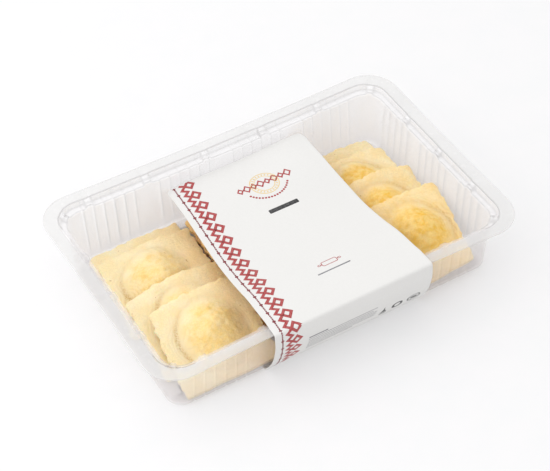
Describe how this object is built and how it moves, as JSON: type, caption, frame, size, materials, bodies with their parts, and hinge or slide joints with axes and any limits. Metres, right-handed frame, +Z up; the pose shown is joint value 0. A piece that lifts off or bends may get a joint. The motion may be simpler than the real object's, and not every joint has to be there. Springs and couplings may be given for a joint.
{
  "type": "tray of ravioli",
  "caption": "Open clear plastic tray of fresh square ravioli in overlapping columns, with a card sleeve folded over the middle and under the floor.",
  "frame": {"origin": "centre of the bounding box, on the surface that the pack stands on (the sleeve's underside)", "axes": "+X along the tray's long side, to the right of the face that carries the sleeve's front panel; +Y from that face to the back; +Z up"},
  "size_m": [0.229, 0.1514, 0.0411],
  "materials": {
    "clear_plastic": "clear thermoformed sheet, glossy, slightly milky walls",
    "white_card": "smooth white coated card, semi-matte, with a printed border",
    "dough": "pale yellow raw egg dough, matte, fine semolina grain, deeper yellow over the filling"
  },
  "bodies": {
    "root": {"tray": "clear_plastic", "sleeve": "white_card", "ravioli_left_1": "dough", "ravioli_left_2": "dough", "ravioli_left_3": "dough", "ravioli_left_4": "dough", "ravioli_middle_1": "dough", "ravioli_middle_2": "dough", "ravioli_middle_3": "dough", "ravioli_middle_4": "dough", "ravioli_right_1": "dough", "ravioli_right_2": "dough", "ravioli_right_3": "dough", "ravioli_right_4": "dough"}
  },
  "joints": []
}
